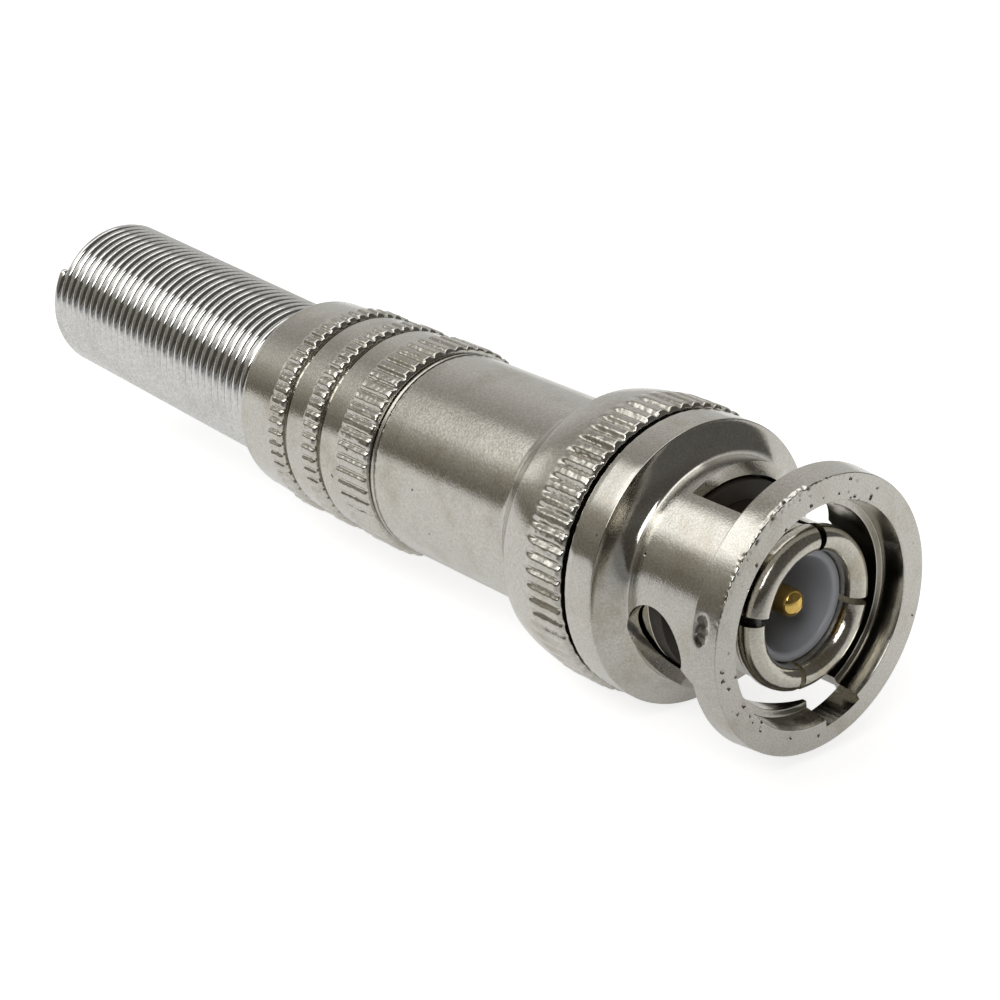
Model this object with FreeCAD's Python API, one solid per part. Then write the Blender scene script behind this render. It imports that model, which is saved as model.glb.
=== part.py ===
# A bayonet coaxial plug for camera cable: a coupling nut that turns on a slotted outer contact, a
# two-piece ribbed shell, a soft cable gland and a close-wound spring that guards the cable.
#
# Sizes are in millimetres. A depth is a distance behind the plane of the nut's front face, and a
# clock angle is in degrees, clockwise from the top as seen from the front. Each piece is drawn with
# its axis upright, depth along +Z and the top along +X, and is laid down last: the axis then lies
# along X, the mouth looks along +X, and the origin is on the axis in the nut's front face.
import os
from math import cos, pi, radians, sin

import FreeCAD
import Part

Vector = FreeCAD.Vector
AXIS = Vector(0, 0, 1)
CENTRE = Vector(0, 0, 0)

# Clearances
RUNNING = 0.05            # radial, between pieces that turn or slide on each other
SEATED = 0.02             # between pieces that are pressed, screwed or clamped together
NUT_GAP = 0.25            # along the axis, between the nut and the collar behind it
JACK_CLEARANCE = 0.15     # radial, between the body's flange and the nut's bore
CABLE_CLEARANCE = 0.30    # radial, between the cable and the metal round it
SPRING_CLEARANCE = 0.14   # radial, between the spring and its chamber

# Outer contact and body
SLEEVE_FRONT = 0.52
SLEEVE_BORE = 2.745
SLEEVE_WALL = 1.085
SLEEVE_NOSE = 0.45        # length and height of the rounded nose
SLEEVE_ROUND = 0.09       # how far the nose stands over a straight bevel
SLEEVE_BEVEL = 0.15
BEAD_HEIGHT = 0.165
BEAD_LENGTH = 0.80
BEAD_LAND = 0.35          # level top of the bead, which touches the jack's bore
SLIT_COUNT = 4
SLIT_CLOCK = 7.4
SLIT_WIDTH = 0.42
SLIT_DEPTH = 5.0
GASKET_FRONT = 5.50
GASKET_LENGTH = 0.80
GASKET_WIDTH = 0.97
BODY_FLANGE_LENGTH = 1.00
CORE_BORE = 2.30          # bore of the body behind the front insulator's shoulder
SHANK_WALL = 1.40
SHANK_LENGTH = 6.30
TAIL_WALL = 0.60          # of the spigot that the braid clamp is swaged on
TAIL_LENGTH = 0.60

# Washers between the body's flange and the nut's lip
WAVE_THICKNESS = 0.22
WAVE_HEIGHT = 0.42
WAVE_COUNT = 3
WASHER_WIDTH = 0.90
THRUST_THICKNESS = 0.30
FLOAT_TRAVEL = 0.30       # how far the nut can be drawn forward until the wave washer stops it

# Coupling nut
MOUTH_FLARE = 0.53        # radius of the mouth over that of the bore behind it
MOUTH_TAPER = 0.17        # radius lost over the depth of the mouth
MOUTH_DEPTH = 1.22
RIM_WALL = 1.28
RIM_SLOPE = 0.12          # radius gained from the rim's front to its rear
RIM_LENGTH = 1.45
NECK_WALL = 0.66
NECK_FILLET = 0.85
NECK_HOLLOW = 0.25        # depth of the fillet's curve below a straight bevel
RING_HEIGHT = 1.49
RING_LENGTH = 1.80
LIP_LENGTH = 1.17

# Bayonet tracks of the nut, cut half a turn apart
TRACK_COUNT = 2
SLOT_CLOCK = -18.0        # middle of the first lug slot
SLOT_ANGLE = 22.5
SLOT_HEIGHT = 0.90        # how far the slot reaches out from the bore
WINDOW_REAR = 5.76        # depth of the window's rear edge beside the slot
TRACK_WIDTH = 2.85        # clear width of the sloping track
RAMP_PITCH = 12.7         # advance of the sloping track for one full turn
RAMP_ANGLE = 80.8         # from the slot's side to the middle of the pocket
POCKET_RADIUS = 1.70
POCKET_DEPTH = 5.26
CUT_MARGIN = 0.60         # how far the cutting shapes pass the walls

# Centre contact and insulators
PIN_RADIUS = 0.685
PIN_TIP = 1.46
PIN_NOSE = 0.55
PIN_NOSE_RADIUS = 0.30
PIN_NOSE_ROUND = 0.12     # how far the nose stands over a straight cone
SHOULDER_RADIUS = 1.50    # shoulder of the pin, held between the two insulators
SHOULDER_THICKNESS = 0.80
ROOT_RADIUS = 0.95        # of the contact where the insulators hold it
CUP_RADIUS = 1.15
CUP_BORE = 0.65
CUP_LENGTH = 4.0
CUP_DEPTH = 3.2
CUP_CUT_LENGTH = 2.4      # the cup is open on one side over this length
CUP_CUT_HEIGHT = 0.2
CUP_GAP = 0.6             # bare stem between the rear insulator and the solder cup
INSULATOR_FRONT = 1.45
INSULATOR_LIP = 0.40      # wall of the cup at the insulator's front
INSULATOR_DISH = 3.45
SEAT_DEPTH = 0.58         # of the bore's shoulder, behind the front of the body's flange
INSULATOR_TAIL = 2.30     # length of the front insulator behind that shoulder
REAR_INSULATOR_PROUD = 0.50

# Ribs of the collar and of the rear shell
RIB_CROWN_SHARE = 0.46    # width of a rib's crown, in rib spacings
RIB_WALL = 0.30           # wall of a ribbed band below its valleys
RIB_FOOT = 0.02           # the valleys stay this far above the plain surface beside the band

# Barrel: collar and barrel are one casting
BAND_STEP = 0.23          # how far the ribs stand over the nut's ring
BAND_LENGTH = 2.55
BAND_RIB_COUNT = 60
BAND_GROOVE = 0.28
SHOULDER_STEP = 0.10      # from the ribs' crowns down to the start of the shoulder
SHOULDER_LENGTH = 1.85    # rounded shoulder behind the ribbed band
SHOULDER_DROP = 0.40
SHOULDER_SWELL = 0.05     # how far the shoulder's curve stands over a straight cone
FLARE_LENGTH = 1.75       # steep hollow curve that runs into the barrel
FLARE_HOLLOW = 0.12       # depth of the curve below a straight cone
BARREL_LENGTH = 10.55     # of the plain tube behind the flare
BARREL_STEP = 0.77        # height of the barrel's rear face over the threaded nose
THREAD_LENGTH = 3.60      # of the collar's bore on the body's shank
CHAMBER_STEP = 0.60       # radius of the chamber over that of the shank
GLAND_POCKET = 2.10       # how far the gland's seat reaches into the plain tube
GLAND_STOP_WALL = 1.60
SPIGOT_WALL = 1.15        # wall of the threaded nose that the rear shell screws on
SPIGOT_LENGTH = 4.20
SPIGOT_UNDERCUT = 0.60
SPIGOT_UNDERCUT_DEPTH = 0.35

# Cable parts
CABLE_RADIUS = 3.00
GLAND_CLEARANCE = 0.10
GLAND_WALL = 0.43
GLAND_PROUD = 0.35        # the gland stands this far out of the barrel's nose
SLIP_THICKNESS = 0.50
LINER_WALL = 0.60
CLAMP_WALL = 0.45
CLAMP_END_GAP = 1.20      # from the clamp's ears to the end of the chamber
CLAMP_EARS = 2.6
CLAMP_TONGUE_ANGLE = 110.0
CLAMP_EAR_ANGLE = 300.0

# Rear shell
SHELL_GAP = 0.08
SHELL_WALL = 0.85
WIDE_BAND_LENGTH = 2.55
WIDE_RIB_HEIGHT = 0.21
WIDE_RIB_COUNT = 50
GROOVE_DEPTH = 0.22
GROOVE_LENGTH = 0.42
FRONT_PLAIN_LENGTH = 1.52
REAR_PLAIN_LENGTH = 1.43
NARROW_BAND_LENGTH = 1.20
NARROW_RIB_HEIGHT = 0.19
NARROW_RIB_COUNT = 56
TAPER_LENGTH = 2.63       # nearly plain stretch behind the last band
TAPER_DROP = 0.14
DOME_LENGTH = 0.82        # round edge that closes on the spring
DOME_WALL = 0.22          # at the rear opening
DOME_SWELL = 0.17         # how far the dome's curve stands over a straight cone
CABLE_WAY_ROOM = 0.70     # radial, between the cable and the shell's throat
SPRING_CHAMBER = 2.40

# Spring
SPRING_ROOM = 0.90        # radial, between the cable and the coil
WIRE_DIAMETER = 0.64
TURN_STEP_COUNT = 10      # straight runs in one turn
SPRING_PITCH = 0.6565
SPRING_REACH = 21.05      # how far the spring stands out behind the shell
SPRING_LEAN = 2.3

# Radii that follow, from the inside out
SLEEVE_RADIUS = SLEEVE_BORE + SLEEVE_WALL
BEAD_RADIUS = SLEEVE_RADIUS + BEAD_HEIGHT
BODY_FLANGE_RADIUS = SLEEVE_RADIUS + GASKET_WIDTH
JACK_BORE_RADIUS = BODY_FLANGE_RADIUS + JACK_CLEARANCE
MOUTH_RADIUS = JACK_BORE_RADIUS + MOUTH_FLARE
SLOT_RADIUS = JACK_BORE_RADIUS + SLOT_HEIGHT
RIM_FRONT_RADIUS = MOUTH_RADIUS + RIM_WALL
RIM_REAR_RADIUS = RIM_FRONT_RADIUS + RIM_SLOPE
NECK_RADIUS = JACK_BORE_RADIUS + NECK_WALL
RING_RADIUS = NECK_RADIUS + RING_HEIGHT
BAND_RADIUS = RING_RADIUS + BAND_STEP
SHANK_RADIUS = CORE_BORE + SHANK_WALL
TAIL_RADIUS = CORE_BORE + TAIL_WALL
WASHER_INNER = SHANK_RADIUS + 2 * RUNNING
WASHER_OUTER = WASHER_INNER + WASHER_WIDTH
CHAMBER_RADIUS = SHANK_RADIUS + CHAMBER_STEP
LINER_RADIUS = CHAMBER_RADIUS - SEATED
CLAMP_RADIUS = LINER_RADIUS - LINER_WALL - RUNNING
CABLE_HOLE_RADIUS = CABLE_RADIUS + CABLE_CLEARANCE
GLAND_BORE = CABLE_RADIUS + GLAND_CLEARANCE
GLAND_SEAT_RADIUS = GLAND_BORE + GLAND_WALL + SEATED
SPIGOT_RADIUS = GLAND_SEAT_RADIUS + SPIGOT_WALL
BARREL_RADIUS = SPIGOT_RADIUS + BARREL_STEP
SOCKET_RADIUS = SPIGOT_RADIUS + RUNNING
SHELL_RADIUS = SOCKET_RADIUS + SHELL_WALL
SPRING_RADIUS = CABLE_RADIUS + SPRING_ROOM + WIRE_DIAMETER
SPRING_SEAT_RADIUS = SPRING_RADIUS + SPRING_CLEARANCE
DOME_RADIUS = SPRING_SEAT_RADIUS + DOME_WALL

# Depths that follow, from the front to the rear
DISH_REAR = INSULATOR_FRONT + INSULATOR_DISH
BODY_FLANGE_FRONT = GASKET_FRONT + GASKET_LENGTH + SEATED
BODY_FLANGE_REAR = BODY_FLANGE_FRONT + BODY_FLANGE_LENGTH
FRONT_SEAT = BODY_FLANGE_FRONT + SEAT_DEPTH
FRONT_INSULATOR_REAR = FRONT_SEAT + INSULATOR_TAIL
SHANK_REAR = BODY_FLANGE_REAR + SHANK_LENGTH
PIN_SHOULDER_FRONT = FRONT_INSULATOR_REAR + SEATED
PIN_SHOULDER_REAR = PIN_SHOULDER_FRONT + SHOULDER_THICKNESS
REAR_INSULATOR_FRONT = PIN_SHOULDER_REAR + SEATED
REAR_INSULATOR_REAR = SHANK_REAR + TAIL_LENGTH + REAR_INSULATOR_PROUD
CUP_FRONT = REAR_INSULATOR_REAR + CUP_GAP
CUP_REAR = CUP_FRONT + CUP_LENGTH
THRUST_FRONT = BODY_FLANGE_REAR + SEATED + WAVE_HEIGHT + FLOAT_TRAVEL
LIP_FRONT = THRUST_FRONT + THRUST_THICKNESS + SEATED
RING_REAR = LIP_FRONT + LIP_LENGTH
RING_FRONT = RING_REAR - RING_LENGTH
SLOT_SIDE = SLOT_CLOCK + SLOT_ANGLE / 2
POCKET_CLOCK = SLOT_SIDE + RAMP_ANGLE
COLLAR_FRONT = RING_REAR + NUT_GAP
BAND_REAR = COLLAR_FRONT + BAND_LENGTH
SHOULDER_REAR = BAND_REAR + SHOULDER_LENGTH
FLARE_REAR = SHOULDER_REAR + FLARE_LENGTH
BARREL_REAR = FLARE_REAR + BARREL_LENGTH
THREAD_REAR = COLLAR_FRONT + THREAD_LENGTH
GLAND_STOP = BARREL_REAR - GLAND_POCKET
CHAMBER_REAR = GLAND_STOP - GLAND_STOP_WALL
CLAMP_REAR = CHAMBER_REAR - CLAMP_END_GAP
SPIGOT_REAR = BARREL_REAR + SPIGOT_LENGTH
GLAND_REAR = SPIGOT_REAR + GLAND_PROUD
SLIP_FRONT = GLAND_REAR + SEATED
SLIP_REAR = SLIP_FRONT + SLIP_THICKNESS
SHELL_FRONT = BARREL_REAR + SHELL_GAP
WIDE_BAND_REAR = SHELL_FRONT + WIDE_BAND_LENGTH
FIRST_GROOVE = WIDE_BAND_REAR + FRONT_PLAIN_LENGTH
BAND_TWO = FIRST_GROOVE + GROOVE_LENGTH
BAND_TWO_REAR = BAND_TWO + NARROW_BAND_LENGTH
SECOND_GROOVE = BAND_TWO_REAR + REAR_PLAIN_LENGTH
BAND_THREE = SECOND_GROOVE + GROOVE_LENGTH
BAND_THREE_REAR = BAND_THREE + NARROW_BAND_LENGTH
DOME_FRONT = BAND_THREE_REAR + TAPER_LENGTH
SHELL_REAR = DOME_FRONT + DOME_LENGTH
SPRING_SEAT = SHELL_REAR - SPRING_CHAMBER
SPRING_REAR = SHELL_REAR + SPRING_REACH


def at(depth, radius):
    """Point of an outline, in the plane through the axis and the top."""
    return Vector(radius, 0, depth)


def turned(*corners, angle=360):
    """Turn an outline about the axis. A corner is (depth, radius)."""
    points = [at(*corner) for corner in corners]
    return Part.Face(Part.makePolygon(points + points[:1])).revolve(CENTRE, AXIS, angle)


def curve(start, end, rise, runs=2):
    """Corners of a shallow curve between two corners, with its middle raised from the straight line."""
    corners = []
    for step in range(1, runs):
        share = step / runs
        depth = start[0] + share * (end[0] - start[0])
        radius = start[1] + share * (end[1] - start[1]) + 4 * rise * share * (1 - share)
        corners.append((depth, radius))
    return (start, *corners, end)


def turn_to(shape, clock):
    """Turn a copy of a shape from the top to a clock angle."""
    copy = shape.copy()
    copy.rotate(CENTRE, AXIS, clock)
    return copy


def tube(front, rear, inner, outer):
    return turned((front, inner), (front, outer), (rear, outer), (rear, inner))


def sector(front, rear, inner, outer, middle_clock, angle):
    """Part of a tube, centred on a clock angle."""
    piece = turned((front, inner), (front, outer), (rear, outer), (rear, inner), angle=angle)
    return turn_to(piece, middle_clock - angle / 2)


def around(shape, count, clock=0.0):
    """Copies of a shape, evenly spaced round the axis."""
    return [turn_to(shape, clock + step * 360 / count) for step in range(count)]


def ribbed_band(front, rear, inner, crown, root, count):
    """A tube whose outside has straight ribs: flat crowns with a sharp valley between them."""
    points = []
    for rib in range(count):
        for share, radius in ((-RIB_CROWN_SHARE / 2, crown), (RIB_CROWN_SHARE / 2, crown), (0.5, root + RIB_FOOT)):
            angle = 2 * pi * (rib + share) / count
            points.append(Vector(radius * cos(angle), radius * sin(angle), front))
    outline = Part.Face(Part.makePolygon(points + points[:1]))
    bore = Part.makeCylinder(inner, rear - front, Vector(0, 0, front), AXIS)
    return outline.extrude(Vector(0, 0, rear - front)).cut(bore)


def bayonet_track():
    """One lug slot, the window beside it and the sloping track with its round pocket."""
    inside = JACK_BORE_RADIUS - CUT_MARGIN
    outside = RING_RADIUS + CUT_MARGIN
    slot = sector(-1, WINDOW_REAR, inside, SLOT_RADIUS, SLOT_CLOCK, SLOT_ANGLE)
    open_slot = sector(RIM_LENGTH, WINDOW_REAR, inside, outside, SLOT_CLOCK, SLOT_ANGLE)

    # The track starts inside the slot, behind the rim, and climbs towards the pocket.
    overlap = SLOT_ANGLE / 2
    start_depth = RIM_LENGTH - RAMP_PITCH * overlap / 360
    climb = RAMP_PITCH * (RAMP_ANGLE + overlap) / 360
    path = Part.makeHelix(RAMP_PITCH, climb, NECK_RADIUS)
    outline = Part.makePolygon([
        at(0, inside), at(0, outside), at(TRACK_WIDTH, outside), at(TRACK_WIDTH, inside), at(0, inside),
    ])
    track = Part.Wire(path).makePipeShell([outline], True, True)
    track.translate(Vector(0, 0, start_depth))
    track = turn_to(track, SLOT_SIDE - overlap)
    track = track.common(Part.makeCylinder(outside, RING_FRONT, Vector(0, 0, RIM_LENGTH), AXIS))

    # Behind the track the window keeps a level rear edge until the track reaches it.
    level_share = (WINDOW_REAR - TRACK_WIDTH - RIM_LENGTH) / RAMP_PITCH * 360
    level = sector(
        WINDOW_REAR - TRACK_WIDTH, WINDOW_REAR, inside, outside,
        SLOT_SIDE + (level_share - SLOT_ANGLE) / 2, level_share + SLOT_ANGLE,
    )
    centre = Vector(inside, 0, POCKET_DEPTH)
    pocket = Part.makeCylinder(POCKET_RADIUS, outside - inside, centre, Vector(1, 0, 0))
    return slot.fuse([open_slot, track, level, turn_to(pocket, POCKET_CLOCK)])


def coupling_nut():
    mouth_rear = MOUTH_RADIUS - MOUTH_TAPER
    fillet_front = (RING_FRONT - NECK_FILLET, NECK_RADIUS)
    fillet = curve(fillet_front, (RING_FRONT, NECK_RADIUS + NECK_FILLET), -NECK_HOLLOW)
    body = turned(
        (0, MOUTH_RADIUS),
        (0, RIM_FRONT_RADIUS),
        (RIM_LENGTH, RIM_REAR_RADIUS),
        (RIM_LENGTH, NECK_RADIUS),
        *fillet,
        (RING_FRONT, RING_RADIUS),
        (RING_REAR, RING_RADIUS),
        (RING_REAR, WASHER_INNER),
        (LIP_FRONT, WASHER_INNER),
        (LIP_FRONT, JACK_BORE_RADIUS),
        (MOUTH_DEPTH, JACK_BORE_RADIUS),
        (MOUTH_DEPTH, mouth_rear),
    )
    return body.cut(around(bayonet_track(), TRACK_COUNT))


def plug_body():
    bead_front = SLEEVE_FRONT + SLEEVE_NOSE
    body = turned(
        (SLEEVE_FRONT + SLEEVE_BEVEL, SLEEVE_BORE),
        (SLEEVE_FRONT, SLEEVE_BORE + SLEEVE_BEVEL),
        *curve((SLEEVE_FRONT, BEAD_RADIUS - SLEEVE_NOSE), (bead_front, BEAD_RADIUS), SLEEVE_ROUND),
        (bead_front + BEAD_LAND, BEAD_RADIUS),
        (bead_front + BEAD_LENGTH, SLEEVE_RADIUS),
        (BODY_FLANGE_FRONT, SLEEVE_RADIUS),
        (BODY_FLANGE_FRONT, BODY_FLANGE_RADIUS),
        (BODY_FLANGE_REAR, BODY_FLANGE_RADIUS),
        (BODY_FLANGE_REAR, SHANK_RADIUS),
        (SHANK_REAR, SHANK_RADIUS),
        (SHANK_REAR, TAIL_RADIUS),
        (SHANK_REAR + TAIL_LENGTH, TAIL_RADIUS),
        (SHANK_REAR + TAIL_LENGTH, CORE_BORE),
        (FRONT_SEAT, CORE_BORE),
        (FRONT_SEAT, SLEEVE_BORE),
    )
    slit = Part.makeBox(
        SLEEVE_RADIUS, SLIT_WIDTH, SLIT_DEPTH, Vector(SLEEVE_BORE - 0.5, -SLIT_WIDTH / 2, 0)
    )
    return body.cut(around(slit, SLIT_COUNT, SLIT_CLOCK))


def sealing_gasket():
    """Soft ring that the jack's end face presses against."""
    inner = SLEEVE_RADIUS + SEATED
    outer = BODY_FLANGE_RADIUS - SEATED
    return tube(GASKET_FRONT, GASKET_FRONT + GASKET_LENGTH, inner, outer)


def wave_washer():
    """Spring washer: a flat ring whose face rises and falls round the ring."""
    rise = (WAVE_HEIGHT - WAVE_THICKNESS) / 2
    middle = BODY_FLANGE_REAR + SEATED + WAVE_HEIGHT / 2
    steps = WAVE_COUNT * 8

    def ring_edge(radius, level):
        points = []
        for step in range(steps):
            angle = 2 * pi * step / steps
            height = middle + level + rise * cos(WAVE_COUNT * angle)
            points.append(Vector(radius * cos(angle), radius * sin(angle), height))
        curve = Part.BSplineCurve()
        curve.interpolate(points, PeriodicFlag=True)
        return curve.toShape()

    low, high = -WAVE_THICKNESS / 2, WAVE_THICKNESS / 2
    edges = [ring_edge(WASHER_INNER, low), ring_edge(WASHER_OUTER, low)]
    edges += [ring_edge(WASHER_OUTER, high), ring_edge(WASHER_INNER, high)]
    faces = [Part.makeRuledSurface(edges[side], edges[(side + 1) % 4]) for side in range(4)]
    shell = Part.makeShell(faces)
    shell.sewShape()
    solid = Part.Solid(shell)
    if solid.Volume < 0:
        solid.reverse()
    return solid


def thrust_washer():
    return tube(THRUST_FRONT, THRUST_FRONT + THRUST_THICKNESS, WASHER_INNER, WASHER_OUTER)


def centre_contact():
    """Gold-plated pin with a rounded nose, a shoulder and a solder cup."""
    pin = turned(
        (PIN_TIP, 0),
        *curve((PIN_TIP, PIN_NOSE_RADIUS), (PIN_TIP + PIN_NOSE, PIN_RADIUS), PIN_NOSE_ROUND),
        (DISH_REAR, PIN_RADIUS),
        (DISH_REAR, ROOT_RADIUS),
        (PIN_SHOULDER_FRONT, ROOT_RADIUS),
        (PIN_SHOULDER_FRONT, SHOULDER_RADIUS),
        (PIN_SHOULDER_REAR, SHOULDER_RADIUS),
        (PIN_SHOULDER_REAR, ROOT_RADIUS),
        (CUP_FRONT, ROOT_RADIUS),
        (CUP_FRONT, CUP_RADIUS),
        (CUP_REAR, CUP_RADIUS),
        (CUP_REAR, 0),
    )
    bore = Part.makeCylinder(CUP_BORE, CUP_DEPTH, Vector(0, 0, CUP_REAR - CUP_DEPTH), AXIS)
    width = 2 * CUP_RADIUS
    corner = Vector(CUP_CUT_HEIGHT, -CUP_RADIUS, CUP_REAR - CUP_CUT_LENGTH)
    side = Part.makeBox(width, width, CUP_CUT_LENGTH, corner)
    return pin.cut([bore, side])


def front_insulator():
    """White cup round the pin. Its rear shoulder stops in the body's bore."""
    bore = ROOT_RADIUS + SEATED
    wide = SLEEVE_BORE - SEATED
    narrow = CORE_BORE - SEATED
    return turned(
        (INSULATOR_FRONT, wide - INSULATOR_LIP),
        (INSULATOR_FRONT, wide),
        (FRONT_SEAT - SEATED, wide),
        (FRONT_SEAT - SEATED, narrow),
        (FRONT_INSULATOR_REAR, narrow),
        (FRONT_INSULATOR_REAR, bore),
        (DISH_REAR, bore),
        (DISH_REAR, wide - 2 * INSULATOR_LIP),
    )


def rear_insulator():
    """Plug of plastic behind the pin's shoulder, with a flange over the swaged tail."""
    bore = ROOT_RADIUS + SEATED
    flange_front = SHANK_REAR + TAIL_LENGTH + SEATED
    return turned(
        (REAR_INSULATOR_FRONT, bore),
        (REAR_INSULATOR_FRONT, CORE_BORE - SEATED),
        (flange_front, CORE_BORE - SEATED),
        (flange_front, TAIL_RADIUS),
        (REAR_INSULATOR_REAR, TAIL_RADIUS),
        (REAR_INSULATOR_REAR, bore),
    )


def barrel():
    """Collar and barrel in one casting: ribs, rounded shoulder, hollow flare, plain tube, thread."""
    root = BAND_RADIUS - BAND_GROOVE
    shoulder_start = BAND_RADIUS - SHOULDER_STEP
    shoulder_edge = shoulder_start - SHOULDER_DROP
    neck = SPIGOT_RADIUS - SPIGOT_UNDERCUT_DEPTH
    under_ribs = root - RIB_WALL
    core = turned(
        (COLLAR_FRONT, SHANK_RADIUS + SEATED),
        (COLLAR_FRONT, under_ribs),
        (BAND_REAR, under_ribs),
        *curve((BAND_REAR, shoulder_start), (SHOULDER_REAR, shoulder_edge), SHOULDER_SWELL),
        *curve((SHOULDER_REAR, shoulder_edge), (FLARE_REAR, BARREL_RADIUS), -FLARE_HOLLOW)[1:],
        (BARREL_REAR, BARREL_RADIUS),
        (BARREL_REAR, neck),
        (BARREL_REAR + SPIGOT_UNDERCUT, neck),
        (BARREL_REAR + SPIGOT_UNDERCUT, SPIGOT_RADIUS),
        (SPIGOT_REAR, SPIGOT_RADIUS),
        (SPIGOT_REAR, GLAND_SEAT_RADIUS),
        (GLAND_STOP, GLAND_SEAT_RADIUS),
        (GLAND_STOP, CABLE_HOLE_RADIUS),
        (CHAMBER_REAR, CABLE_HOLE_RADIUS),
        (CHAMBER_REAR, CHAMBER_RADIUS),
        (THREAD_REAR, CHAMBER_RADIUS),
        (THREAD_REAR, SHANK_RADIUS + SEATED),
    )
    band = ribbed_band(COLLAR_FRONT, BAND_REAR, under_ribs, BAND_RADIUS, root, BAND_RIB_COUNT)
    return core.fuse(band).removeSplitter()


def insulating_sleeve():
    """Thin plastic liner that keeps the soldered joint off the barrel."""
    front = SHANK_REAR + TAIL_LENGTH + SEATED
    return tube(front, CHAMBER_REAR - SEATED, LINER_RADIUS - LINER_WALL, LINER_RADIUS)


def braid_clamp():
    """Pressed cradle swaged on the body's tail. Two ears at its end fold round the braid."""
    inner = CLAMP_RADIUS - CLAMP_WALL
    front = SHANK_REAR + SEATED
    plate = tube(front, front + CLAMP_WALL, TAIL_RADIUS + SEATED, SHANK_RADIUS)
    tongue = sector(front, CLAMP_REAR, inner, CLAMP_RADIUS, 180, CLAMP_TONGUE_ANGLE)
    step = sector(front, front + CLAMP_WALL, TAIL_RADIUS + SEATED, CLAMP_RADIUS, 180, CLAMP_TONGUE_ANGLE)
    ears = sector(CLAMP_REAR - CLAMP_EARS, CLAMP_REAR, inner, CLAMP_RADIUS, 180, CLAMP_EAR_ANGLE)
    return plate.fuse([tongue, step, ears]).removeSplitter()


def cable_gland():
    """Rubber sleeve that the rear shell squeezes on the cable."""
    return tube(GLAND_STOP + SEATED, GLAND_REAR, GLAND_BORE, GLAND_SEAT_RADIUS - SEATED)


def slip_washer():
    """Lets the rear shell turn without twisting the gland."""
    return tube(SLIP_FRONT, SLIP_REAR, CABLE_HOLE_RADIUS, SPIGOT_RADIUS - 2 * RUNNING)


def rear_shell():
    """Ribbed casting that screws on the barrel, with a domed rear end that holds the spring."""
    socket_rear = SLIP_REAR + SEATED
    throat = CABLE_RADIUS + CABLE_WAY_ROOM
    under_ribs = SHELL_RADIUS - RIB_WALL
    core = turned(
        (SHELL_FRONT, SOCKET_RADIUS),
        (SHELL_FRONT, under_ribs),
        (WIDE_BAND_REAR, under_ribs),
        (WIDE_BAND_REAR, SHELL_RADIUS),
        (FIRST_GROOVE, SHELL_RADIUS),
        (FIRST_GROOVE, SHELL_RADIUS - GROOVE_DEPTH),
        (BAND_TWO, SHELL_RADIUS - GROOVE_DEPTH),
        (BAND_TWO, under_ribs),
        (BAND_TWO_REAR, under_ribs),
        (BAND_TWO_REAR, SHELL_RADIUS),
        (SECOND_GROOVE, SHELL_RADIUS),
        (SECOND_GROOVE, SHELL_RADIUS - GROOVE_DEPTH),
        (BAND_THREE, SHELL_RADIUS - GROOVE_DEPTH),
        (BAND_THREE, under_ribs),
        (BAND_THREE_REAR, under_ribs),
        (BAND_THREE_REAR, SHELL_RADIUS),
        *curve((DOME_FRONT, SHELL_RADIUS - TAPER_DROP), (SHELL_REAR, DOME_RADIUS), DOME_SWELL, 3),
        (SHELL_REAR, SPRING_SEAT_RADIUS),
        (SPRING_SEAT, SPRING_SEAT_RADIUS),
        (SPRING_SEAT, throat),
        (socket_rear, throat),
        (socket_rear, SOCKET_RADIUS),
    )
    wide = SHELL_RADIUS + WIDE_RIB_HEIGHT
    narrow = SHELL_RADIUS + NARROW_RIB_HEIGHT
    bands = [
        ribbed_band(SHELL_FRONT, WIDE_BAND_REAR, under_ribs, wide, SHELL_RADIUS, WIDE_RIB_COUNT),
        ribbed_band(BAND_TWO, BAND_TWO_REAR, under_ribs, narrow, SHELL_RADIUS, NARROW_RIB_COUNT),
        ribbed_band(BAND_THREE, BAND_THREE_REAR, under_ribs, narrow, SHELL_RADIUS, NARROW_RIB_COUNT),
    ]
    return core.fuse(bands).removeSplitter()


def strain_relief_spring():
    """Close-wound spring, seated in the rear shell and leaning a little upwards."""
    wire = WIRE_DIAMETER / 2
    coil = SPRING_RADIUS - wire
    tilt_rise = SPRING_RADIUS * sin(radians(SPRING_LEAN))
    front = SPRING_SEAT + SEATED + wire + tilt_rise
    turns = (SPRING_REAR - wire - front) / SPRING_PITCH
    square = Part.makePolygon([
        at(0, coil - wire), at(wire, coil), at(0, coil + wire), at(-wire, coil), at(0, coil - wire),
    ])
    sections = []
    for step in range(int(turns * TURN_STEP_COUNT) + 1):
        section = turn_to(square, 360 * step / TURN_STEP_COUNT)
        section.translate(Vector(0, 0, front + SPRING_PITCH * step / TURN_STEP_COUNT))
        sections.append(section)
    spring = Part.makeLoft(sections, True, True)
    spring.rotate(at((SPRING_SEAT + SHELL_REAR) / 2, 0), Vector(0, 1, 0), SPRING_LEAN)
    return spring


def lay_down(shape):
    """Swing the upright drawing over, so that the mouth looks along +X and the top is up."""
    shape.rotate(CENTRE, Vector(0, 1, 0), -90)
    return shape


PIECES = (
    coupling_nut, plug_body, sealing_gasket, wave_washer, thrust_washer, centre_contact,
    front_insulator, rear_insulator, barrel, insulating_sleeve, braid_clamp, cable_gland,
    slip_washer, rear_shell, strain_relief_spring,
)

os.makedirs("parts", exist_ok=True)
for piece in PIECES:
    lay_down(piece()).exportStep(f"parts/{piece.__name__}.step")
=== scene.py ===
# A bayonet coaxial plug on a pale studio floor. Sizes are in millimetres until a mesh is made. As in the
# part, a depth is a distance behind the plane of the nut's front face, and a clock angle runs clockwise
# from the top as seen from the front.
from math import cos, degrees, pi, radians, sin

import bmesh
import bpy
from mathutils import Matrix, Vector, noise


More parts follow.
